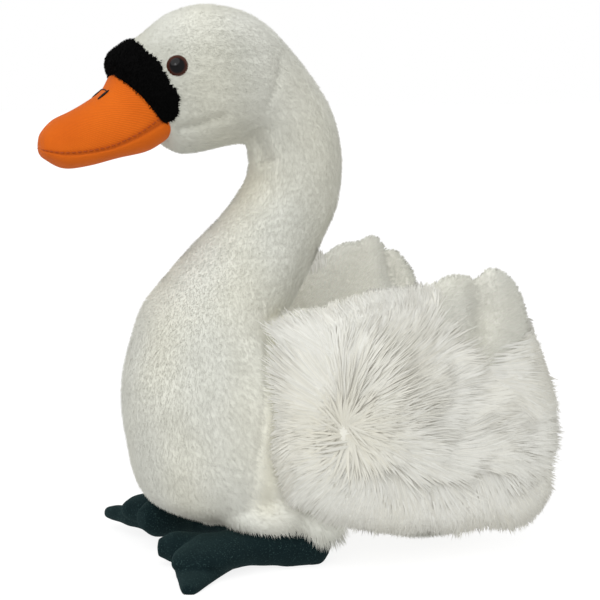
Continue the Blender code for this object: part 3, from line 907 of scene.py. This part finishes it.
def wingShape(side):
    # A leaning lens drawn in from the solid by the pile's depth: round each ring, x is
    # middle line + half thickness * cos^lens, and z goes from bottom to top as sin does.
    rows = catmullRom(wingRows, 8)
    y, bottom, top, thick, waist = (column[:, None] for column in rows.T)
    dip = wing["dips"][side]
    if side < 0:    # the right wing stops sooner
        y = y - 3 * smoothStep(y, 66, 92)
        top = top + lineAt(y, wing["rightTrim"])
    top = top + lineAt(y, wing["topTrim"]) - 2.6 * np.exp(-((y - dip) / 3.6) ** 2)
    bottom = bottom + lineAt(y, wing["bottomTrim"])
    angle = np.linspace(0, 2 * np.pi, 72, endpoint=False)[None]
    isOuter = np.cos(angle) > 0
    z = bottom + (1 + np.sin(angle)) / 2 * (top - bottom)
    y = y + (1 - smoothStep(y, -36, -8)) * (7 + 6 * smoothStep(z, 95, 130)) \
        - 11 * np.clip((y - 98) / 24, 0, 1)
    middle = midLine(waist, z)
    drawnIn = np.where(isOuter, 1.8 + 3.2 * longShare(np.dstack([middle, y, z])), 2.6)
    half = np.maximum(thick - drawnIn, 1.6) * roundPower(np.cos(angle), wing["lens"])
    # the fold between the lobes pinches both faces, and the whorl is drawn in
    pinch = lobeFold(y, z, dip, 7.0) * smoothStep(z, 116, 140)
    half = half * (1 - (0.55 if side > 0 else 0.75) * pinch)
    whorl = np.hypot(y - wing["whorl"][0], z - wing["whorl"][1])
    half = half - np.where(isOuter, 3.0 * np.exp(-(whorl / 8) ** 2), 0)
    # the front lies down on the body, from which the outer face rises over 30 mm
    front = 1 - smoothStep(y, -30, 2)
    against = bodySide(y, z)
    flush = np.where(isOuter, np.maximum(against, wing["leastSide"]) + 0.2, against - 4)
    across = (middle + half) * (1 - front) + flush * front
    points, faceSets = tube(np.dstack([side * across, y, z]))
    faces = np.vstack([faceSets[0], faceSets[1][:, [0, 1, 2, 2]]])
    outerness = np.append(np.repeat(np.cos(angle), len(rows), axis=0).ravel(), [0, 0])
    return points, faceSets, faces, outerness


def solidWing(y):
    # the solid wing's bottom, top, half thickness and waist at y
    return [np.interp(y, wingLine[:, 0], wingLine[:, i]) for i in (1, 2, 3, 4)]


def outerFace(y, z):
    # how far out the solid wing's outer face is at (y, z); beyond its outline, its middle line
    bottom, top, thick, waist = solidWing(y)
    height = np.clip((2 * z - bottom - top) / (top - bottom), -1, 1)
    return midLine(waist, z) + thick * (1 - height ** 2) ** (wing["lens"] / 2)


def pointing(heading):
    # the direction of each heading in the side view, 0 back and a quarter turn up
    return np.column_stack([np.zeros(len(heading)), np.cos(heading), np.sin(heading)])


def insideWing(y, z, margin):
    # whether (y, z) is inside the solid wing's side view with its top front filled out,
    # grown by a margin
    low, high, _, _ = solidWing(y)
    high = np.maximum(high, np.interp(y, [-38, -30, -14, 0], [131, 136, 142, 100]))
    return (z > low - margin) & (z < high + margin) \
        & (y > wingLine[0, 0] - margin) & (y < wingLine[-1, 0] + margin)


def overParting(points):
    # 1 above the parting and 0 below it, along the part of it that shows
    y, z = points[:, -2], points[:, -1]
    shown = smoothStep(y, -8, 2) * (1 - smoothStep(y, 66, 92))
    return (z > lineAt(y, wing["parting"])) * shown


def combed(points):
    # The angle in the side view that long pile points to: the mean of the strokes near it,
    # exp(-distance^2 / 2 reach^2), where the two sides of the parting count as far apart.
    # Close to the whorl it points straight away from it.
    strokes = np.array(wing["strokes"], float)
    place = inPlane(points)
    ours, theirs = (np.column_stack([where, wing["partingGap"] * overParting(where)])
                    for where in (place, strokes[:, :2]))
    square = ((ours[:, None] - theirs[None]) ** 2).sum(axis=2)
    weight = np.exp(-(square - square.min(axis=1, keepdims=True))
                    / (2 * wing["strokeReach"] ** 2))
    turn = np.radians(strokes[:, 2])
    mean = weight @ np.column_stack([np.cos(turn), np.sin(turn)])
    away = place - np.array(wing["whorl"])
    reach = np.hypot(*away.T)
    centre = np.exp(-(reach / 7) ** 2)[:, None]
    mean = unit(mean) * (1 - centre) + unit(away) * centre
    heading = np.arctan2(mean[:, 1], mean[:, 0]) - wing["twist"] * np.exp(-(reach / 12) ** 2)
    return heading + 0.4 * waves(points, 30, 31) + 0.3 * waves(points, 13, 32), reach


def wingMap(roots, inner):
    # the unwrap of a wing: its side view, with the inner face beside the outer one
    return np.column_stack([(roots[:, 1] + 40) / 170 * 0.48 + np.where(inner, 0.51, 0.01),
                            roots[:, 2] / 170 * 0.96 + 0.02])


def lockLength(roots, heading, reach):
    # as long as brings a lock's tip to the solid wing's outline, and the room it had for that
    steps = np.arange(1, 40, 1.5)[None]
    y = roots[:, 1:2] + np.cos(heading)[:, None] * steps
    z = roots[:, 2:3] + np.sin(heading)[:, None] * steps
    # the tips end raggedly along the rim, and reach a little further at the front
    margin = 3.0 * waves(roots, 13, 35) - 0.5 + 3.5 * np.maximum(-np.cos(heading), 0)
    outside = ~insideWing(y, z, margin[:, None])
    room = np.where(outside.any(axis=1), steps[0, outside.argmax(axis=1)], 60.0)
    length = np.minimum(wing["longest"] * (1 + 0.15 * waves(roots, 15, 34)), np.maximum(room, 8))
    length = length * rng.uniform(0.8, 1.05, len(roots)) * np.interp(reach, [0, 20], [0.55, 1.0])
    return length * (0.35 + 0.65 * frontShare(roots)), room


def makeLongPile(name, side, points, faces, normals, outerness):
    # long locks over the outer face: lifted at the root, laid flat by the tip, leaning
    # together in clumps, and no longer than brings them to the solid wing's outline
    onFace = outerness > np.where(points[:, 1] < 12, 0.12, -0.35)
    crowd = 1 + 1.2 * np.exp(-(combed(points)[1] / 22) ** 2)    # closer round the whorl
    roots, normal, _ = sow(points, faces, normals, wing["perSquare"] * crowd * onFace)
    heading, reach = combed(roots)
    size = len(roots)
    heading += rng.normal(size=size) * (0.07 + 0.55 * np.exp(-(reach / 13) ** 2))
    length, room = lockLength(roots, heading, reach)
    lie = pointing(heading)
    # a lock is kept where its tip stays below the short plush
    tip = roots + lie * (length * 0.85)[:, None]
    keep = lineAt(tip[:, 1], wing["pileEdge"]) - tip[:, 2] > rng.uniform(-5, 4, size)
    keep &= frontShare(roots) > 0.2 + 0.5 * rng.random(size)
    order = np.flatnonzero(keep)
    order = order[np.argsort(roots[order, 1] // 24 * 1000 + roots[order, 2], kind="stable")]
    roots, normal, lie = roots[order], normal[order], lie[order]
    length, room, reach = length[order], room[order], reach[order]
    size = len(roots)
    above = roots[:, 2] - lineAt(roots[:, 1], wing["parting"])
    calm = np.exp(-(reach / 40) ** 2)
    swept = overParting(roots) * np.exp(-((above - 5) / 6) ** 2)
    look = {"segments": 3, "sink": 1.0, "length": length, "droop": 0.12,
            "lift": (0.26 - 0.12 * calm + 0.5 * swept, 0.0),
            "sway": 0.5 * waves(roots, 19, 33) + 0.12 * rng.normal(size=size)}
    lines = clumped(clumped(grow(roots, normal, lie, look), 12.0, 0.12), 4.8, 0.1)
    # what would stand off the wing's own face is laid against it
    x, y, z = np.moveaxis(lines, -1, 0)
    front = 1 - smoothStep(y, -36, -2)
    onBody = np.maximum(bodySide(y, z), wing["leastSide"])
    most = (outerFace(y, z) + 0.5) * (1 - front) + (onBody + 3.0) * front
    lines[..., 0] -= side * 0.85 * np.maximum(side * x - most, 0)
    # painted shade on the pile: darker behind, below, along the top and round the whorl
    y, z = roots[:, 1], roots[:, 2]
    low = 0.6 * smoothStep(y, 55, 100) + 0.5 * (1 - smoothStep(z, 35, 75))
    low = np.minimum(low, 0.6) + 0.7 * np.exp(-(reach / 28) ** 2) + 0.25 * smoothStep(z, 105, 130)
    tone = np.clip(0.8 - low + 0.15 * waves(roots, 9, 41) + 0.2 * rng.normal(size=size), 0, 1)
    warmth = np.clip(0.3 * np.exp(-(reach / 9) ** 2) + 0.2 * rng.random(size)
                     + 0.15 * waves(roots, 40, 6), 0, 1)
    width = rng.uniform(0.36, 0.58, size) * (1 + 0.35 * calm)
    # locks that end at the rim catch the light from where they point, on both their sides
    shade = unit(normal + 0.7 * (1 - smoothStep(room, 12, 40))[:, None] * lie)
    makeCoat(name, lines, normal, width, longPile, wingMap(roots, False),
             tone, warmth, belly=0.5, soften=0.95, shade=shade)


def makeShortPile(name, side, points, faces, normals, outerness):
    # short plush on the inner face and on the two-lobed tip
    onOuter = smoothStep(outerness, -0.3, 0.1) > 0.5
    density = np.where(onOuter, 1.7 * (1 - longShare(points)), 1.15)
    density = np.where(~onOuter & (points[:, 2] < 95), 0.4, density)    # little of it shows there
    roots, normal, places = sow(points, faces, normals, density)
    size = len(roots)
    inner = sample(outerness, places) < 0
    # it is combed up and back, and on the front band as the long pile beside it
    onBand = (roots[:, 1] < 10) & (sample(outerness, places) > 0)
    flow = np.where(onBand[:, None], pointing(combed(roots)[0]), [0, 0.75, 0.65])
    lie = unit(flow + 0.25 * rng.normal(size=roots.shape))
    length = wing["shortPile"] * rng.uniform(0.8, 1.1, size) \
        * np.where(inner & (roots[:, 2] < 110), 1.3, 0.85)
    lines = clumped(grow(roots, normal, lie, straight(length, 0.8, 0.6)), 2.6, 0.45)
    warmth = np.clip(0.15 + 0.2 * waves(roots, 35, 7), 0, 1)
    # on the inner face, painted shade in the fold between the lobes and on the right wing's rear lobe
    dip = wing["dips"][side]
    fold = lobeFold(roots[:, 1], roots[:, 2], dip, 5)
    behind = smoothStep(roots[:, 1], dip, dip + 12) * smoothStep(roots[:, 2], 110, 130)
    tone = 0.55 + inner * (0.3 - 0.5 * fold - (0.65 * behind if side < 0 else 0))
    tone = np.clip(tone + 0.1 * rng.normal(size=size), 0, 1)
    makeCoat(name, lines, normal, rng.uniform(0.42, 0.62, size), whitePlush,
             wingMap(roots, inner), tone, warmth, soften=0.95)


def makeWing(name, side):
    points, faceSets, faces, outerness = wingShape(side)
    normals = vertexNormals(points, faceSets[0])
    normals[-2:] = unit(points[-2:] - points[:-2].mean(axis=0))
    # painted light: where long pile grows the skin is lighter, lifting the shade in the gaps between
    # the locks, and it has less painted root shade
    shown = 0.4 + 0.45 * longShare(points) * (outerness > 0)
    skin = makePiece(name + "Skin", points, faceSets, longPile,
                     {"tone": shown, "along": shown, "warmth": 0.2})
    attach(skin, "root")
    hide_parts("wing_left" if side > 0 else "wing_right")
    makeLongPile(name + "Locks", side, points, faces, normals, outerness)
    makeShortPile(name + "Pile", side, points, faces, normals, outerness)


makeWing("wingLeft", 1)
makeWing("wingRight", -1)



bill = {
    # top y, top z, seam y, seam z, bottom y, bottom z, half width
    "rows": [(-92.0, 262.5, -74.0, 243.0, -66.0, 233.0, 21.5),
             (-103.0, 261.5, -84.0, 236.0, -76.5, 226.5, 22.5),
             (-109.5, 252.5, -96.0, 229.0, -87.0, 220.3, 20.5),
             (-118.0, 246.7, -109.0, 223.4, -103.0, 217.0, 18.5),
             (-126.5, 242.0, -122.5, 220.9, -119.0, 213.2, 17.5),
             (-136.0, 237.5, -134.0, 220.4, -131.5, 212.2, 15.5),
             (-142.0, 231.6, -141.5, 221.6, -140.5, 216.8, 9.8),
             (-143.8, 227.5, -143.6, 222.3, -143.2, 219.2, 4.6)],
    "arch": 0.9,
    "groove": 0.45,    # depth of the seam's valley
    "halfRound": 75.0,    # how far round the bill is from seam to seam, for the cloth's map
    "stitchPitch": 3.0,
    "stitchLength": 2.1,
    "stitchRow": 0.035,    # the angle of the stitches over the seam
    "thread": 0.27,    # thread radius
    # the nostrils: where they start and end along the bill, half their angle apart, and the
    # radius of their thread and of the one that passes over the ridge
    "nostril": {"from": 0.27, "to": 0.365, "apart": 0.30, "thread": 0.42, "over": 0.3},
}
billRows = catmullRom(bill["rows"], 10)


def billSurface(u, v):
    # u from 0 at the root to 1 at the tip, v round the section from the left seam over the
    # top: an arch over the seam line and a bowl under it, drawn in along the seam
    u = np.clip(u, 0, 1) * (len(billRows) - 1)
    low = np.floor(u).astype(int).clip(0, len(billRows) - 2)
    row = billRows[low] + (billRows[low + 1] - billRows[low]) * (u - low)[..., None]
    arch = bill["arch"] - 0.22 * np.exp(-(u / len(billRows) / 0.2) ** 2) * (np.sin(v) > 0)
    rise, across = roundPower(np.sin(v), arch), roundPower(np.cos(v), arch)
    top, seam, bottom = row[..., 0:2], row[..., 2:4], row[..., 4:6]
    tall = np.where(rise[..., None] > 0, top - seam, seam - bottom)
    yz = seam + tall * rise[..., None]
    toSeam = np.abs(np.sin(v))
    width = row[..., 6] * across
    width = width - np.sign(across) * bill["groove"] * np.exp(-(toSeam / 0.07) ** 2)
    return np.concatenate([width[..., None], yz], axis=-1)


def cordAlong(path, radius, sides=6):
    # a thread: a round tube along a path of points, its ends closed to a dome
    run = unit(np.gradient(path, axis=0))
    across = unit(np.cross(run, np.array([0.31, 0.53, 0.79])))
    up = np.cross(run, across)
    angle = np.linspace(0, 2 * np.pi, sides, endpoint=False)[None, :, None]
    taper = np.full(len(path), radius)
    taper[[0, -1]] *= 0.55
    return tube(path[:, None] + (across[:, None] * np.cos(angle) + up[:, None] * np.sin(angle))
                * taper[:, None, None])


def stitchAlong(u, v, lift, radius):
    # a thread over the bill from one (u, v) to another, raised by lift: (x, z) in mm
    stitch = billSurface(u, v)
    stitch[:, 0] += np.sign(stitch[:, 0]) * lift[0]
    stitch[:, 2] += lift[1]
    return cordAlong(stitch, radius)


def topStitches():
    # stitches of one length and pitch, just over the seam on each side
    stitches = []
    line = np.linspace(0.1, 0.985, 400)
    hump = 0.2 + 0.22 * np.sin(np.linspace(0, np.pi, 6))
    for base in (bill["stitchRow"], np.pi - bill["stitchRow"]):
        path = billSurface(line, np.full(400, base))
        far = runLength(path)
        for start in np.arange(0, far[-1] - bill["stitchLength"], bill["stitchPitch"]):
            u = np.interp(start + np.linspace(0, bill["stitchLength"], 6), far, line)
            stitches.append(stitchAlong(u, np.full(6, base), (hump, 0), bill["thread"]))
    return stitches


def nostrilThreads():
    # a long pair of stitches each side of the ridge, with the thread passing over it
    nostril = bill["nostril"]
    left, right = np.pi / 2 - nostril["apart"], np.pi / 2 + nostril["apart"]
    u = np.linspace(nostril["from"], nostril["to"], 9)
    hump = 0.15 + 0.5 * np.sin(np.linspace(0, np.pi, 9))
    threads = [stitchAlong(u, np.full(9, base + shift), (0, hump), nostril["thread"])
               for base in (left, right) for shift in (-0.0125, 0.0125)]
    over = stitchAlong(np.full(9, nostril["from"] + 0.012), np.linspace(left, right, 9),
                       (0, 0.3), nostril["over"])
    return threads + [over]


def makeBill():
    # a stuffed twill bag: the surface over u and v, with the seam's shade kept along it
    columns = 128
    u = np.linspace(0, 1, 90)[:, None]
    v = np.linspace(0, 2 * np.pi, columns, endpoint=False)[None]
    grid = billSurface(u + 0 * v, v + 0 * u)
    points, faceSets = tube(grid, 0.6)
    near = np.exp(-(np.abs(np.sin(v)) / 0.05) ** 2) + 0 * u
    piece = makePiece("bill", points, faceSets, orangeTwill,
                      {"groove": np.append(near.ravel() * 0.75, [0, 0])})
    # cloth map in millimetres: along the bill's top, and round it
    length = runLength(grid[:, columns // 4])[:, None]
    around = np.abs(v - np.pi) / np.pi * bill["halfRound"]
    cloth = np.stack([length + 0 * v, around + 0 * u], axis=-1).reshape(-1, 2)
    setMap(piece, np.vstack([cloth, cloth[:1], cloth[-1:]]), "clothMap")
    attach(piece, "root")
    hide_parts("bill_upper", "bill_lower")
    seam = makePiece("billStitches", *joinShapes(topStitches()), orangeThread)
    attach(seam, "root")
    holes = makePiece("nostrilStitches", *joinShapes(nostrilThreads()), blackThread)
    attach(holes, "root")
    print("bill and stitches made")


makeBill()



eye = {
    "facing": (0.93, -0.33, 0.14),    # the way the left eye looks
    "radius": 5.8,
    "flatten": 0.72,    # how deep the dome is against its radius
    "shank": 0.5,    # and how deep its back is
}


def makeEye(name, side):
    # a shallow dome about the eye's own axis, closed at the back by its flat shank side
    low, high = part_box("eye_left" if side > 0 else "eye_right")
    centre = np.array((low + high) / 2) / mm - np.array([0, hipLine, 0])
    axis = unit(np.array(eye["facing"]) * np.array([side, 1, 1]))
    across = unit(np.cross(axis, np.array([0, 0, 1.0])))
    up = np.cross(across, axis)
    turn = np.linspace(0.02, 0.98 * np.pi, 40)
    columns = 56
    angle = np.linspace(0, 2 * np.pi, columns, endpoint=False)
    depth = np.where(turn < np.pi / 2, eye["flatten"], eye["shank"])
    forward = np.cos(turn) * depth * eye["radius"]
    out = np.sin(turn) * eye["radius"]
    ring = across[None] * np.cos(angle)[:, None] + up[None] * np.sin(angle)[:, None]
    grid = centre + axis * forward[:, None, None] + ring[None] * out[:, None, None]
    points, faceSets = tube(grid, 0.1)
    radial = np.repeat(np.where(turn < np.pi / 2, np.sin(turn), 1), columns)
    piece = makePiece(name, points, faceSets, acrylicEye, {"radial": np.append(radial, [0, 1])})
    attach(piece, "root")
    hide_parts("eye_left" if side > 0 else "eye_right")


makeEye("eyeLeft", 1)
makeEye("eyeRight", -1)
print("eyes made")



foot = {
    "spread": 38.0,
    # lobes about the heel's line: x, y, bottom z, top z, half width
    "sole": [(0.0, 1.0, 3.0, 16.0, 6.5), (0.5, -6.0, -1.4, 20.5, 11.5),
             (0.0, -22.0, -0.8, 21.5, 13.0), (-1.5, -42.0, 1.4, 21.0, 14.5),
             (1.0, -60.0, 0.8, 19.5, 19.0), (2.5, -71.0, 0.4, 17.5, 22.0),
             (1.0, -79.0, 2.0, 14.5, 18.0), (-1.0, -83.0, 5.0, 11.5, 10.0)],
    "outerToe": [(-1.0, -62.0, -1.2, 10.0, 13.0), (10.5, -72.5, -1.2, 9.0, 13.0),
                 (25.5, -80.5, -1.2, 7.0, 8.8), (35.5, -85.5, -1.2, 5.5, 5.8),
                 (41.5, -88.5, -1.0, 4.2, 3.2)],
    "innerToe": [(-4.0, -56.0, 2.0, 16.0, 9.0), (-13.0, -68.0, 1.5, 17.5, 11.0),
                 (-19.0, -78.5, 1.5, 17.5, 10.0), (-21.5, -86.0, 5.0, 14.0, 5.5)],
    "rise": {1: 1.0, -1: 1.22},    # the right foot is stuffed fuller
    "curl": {1: 0.0, -1: 6.0},    # and its toes curl up by this
    "voxel": 0.9,
    "smoothing": 4,
}


def footLobe(rows, side):
    # ovals across the lobe's own direction along the floor
    rows = catmullRom(rows, 6)
    run = unit(np.gradient(rows[:, :2], axis=0))
    angle = np.linspace(0, 2 * np.pi, 40, endpoint=False)[None, :, None]
    centre = np.column_stack([rows[:, :2], rows[:, 2:4].mean(axis=1)])
    across = np.column_stack([-run[:, 1], run[:, 0], 0 * run[:, 0]]) * rows[:, 4:5]
    rise = np.column_stack([0 * run, (rows[:, 3] - rows[:, 2]) / 2])
    grid = centre[:, None] + across[:, None] * np.cos(angle) + rise[:, None] * np.sin(angle)
    grid = (grid + np.array([foot["spread"], 0, 0])) * np.array([side, 1, foot["rise"][side]])
    grid[..., 2] += foot["curl"][side] * smoothStep(-grid[..., 1], 48, 86)
    return tube(grid, 0.5)


def makeFoot(name, side):
    # three stuffed lobes sewn as one bag, flat underneath
    shells = [footLobe(foot[lobe], side) for lobe in ("sole", "outerToe", "innerToe")]
    points, faces = mergedShape(shells, foot["voxel"], foot["smoothing"])
    normals = vertexNormals(points, faces)
    points = points + normals * (0.35 * waves(points, 14, 51) + 0.2)[:, None]
    points[:, 2] = np.maximum(points[:, 2], 0.0)
    piece = makePiece(name, points, [faces], greenFelt)
    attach(piece, "root")
    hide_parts("foot_left" if side > 0 else "foot_right")


makeFoot("footLeft", 1)
makeFoot("footRight", -1)
print("feet made")



stage = {
    "floorHalf": 6.0,    # metres
    "floorSeen": 0.85,    # how brightly the floor glows
    "floorGlow": 0.4,    # and how much of that it gives to the toy
    "ambient": 0.52,
    # each light's strength, and how wide it is in degrees
    "key": (1.37, 70), "fill": (0.12, 60), "back": (0.3, 60),
    "softbox": (0.26, 16),    # its reflection is the light in the eye
    "azimuth": 70.0, "elevation": 7.4,    # where the camera stands, in degrees
    "distance": 1.15,    # metres
    "aim": (0.0, 0.0045, 0.137),    # the place that it looks at, in metres
    "lens": 125.9,
}


def turnBack(thing, towards):
    # turns a lamp or a camera so that what it faces is straight away from towards
    thing.rotation_mode = "QUATERNION"
    thing.rotation_quaternion = Vector(towards).to_track_quat("Z", "Y")


def addSun(name, towards):
    # a broad soft light from far away, shining back along the direction towards it
    lamp = bpy.data.lights.new(name, "SUN")
    lamp.energy, softness = stage[name]
    lamp.angle = np.radians(softness)
    turnBack(addObject(name, lamp), towards)


def makeStage():
    # back-lit white acrylic: it glows enough to thin the shadows on it
    paper, tree, shader = newMaterial("back-lit white floor", Roughness=0.9,
                                      Specular_IOR_Level=0.1, Base_Color=(0.25, 0.25, 0.25, 1),
                                      Emission_Color=(1, 1, 1, 1))
    seen = addNode(tree, "LightPath").outputs["Is Camera Ray"]
    glow = addNode(tree, "MapRange",
                   {"Value": seen, "To Min": stage["floorGlow"], "To Max": stage["floorSeen"]})
    tree.links.new(glow.outputs[0], shader.inputs["Emission Strength"])
    half = stage["floorHalf"] / mm
    corners = np.array([(-half, -half, 0), (half, -half, 0), (half, half, 0), (-half, half, 0.0)])
    makePiece("floor", corners, [np.array([[0, 1, 2, 3]])], paper)
    world = bpy.data.worlds.new("studio")
    bpy.context.scene.world = world
    world.use_nodes = True
    tree = world.node_tree
    sky = tree.nodes["Background"]
    sky.inputs["Color"].default_value = (1.0, 1.0, 1.0, 1.0)
    seen = addNode(tree, "LightPath").outputs["Is Camera Ray"]
    level = addNode(tree, "MapRange", {"Value": seen, "To Min": stage["ambient"]})
    tree.links.new(level.outputs[0], sky.inputs["Strength"])
    addSun("key", (0.55, -0.6, 0.85))
    addSun("fill", (0.9, 0.2, 0.35))
    addSun("softbox", (0.8, -0.58, 0.42))
    addSun("back", (-0.3, 0.9, 0.5))


def makeCamera():
    # level with the breast and looking across the left side, from a little ahead
    camera = addObject("camera", bpy.data.cameras.new("camera"))
    bpy.context.scene.camera = camera
    azimuth, elevation = np.radians(stage["azimuth"]), np.radians(stage["elevation"])
    back = Vector((np.sin(azimuth) * np.cos(elevation), -np.cos(azimuth) * np.cos(elevation),
                   np.sin(elevation)))
    camera.location = Vector(stage["aim"]) + back * stage["distance"]
    turnBack(camera, back)
    camera.data.sensor_width = 36
    camera.data.lens = stage["lens"]
    camera.data.clip_end = 50


makeStage()
makeCamera()
bpy.context.scene.view_settings.view_transform = "Standard"
print("stage, light and camera set")
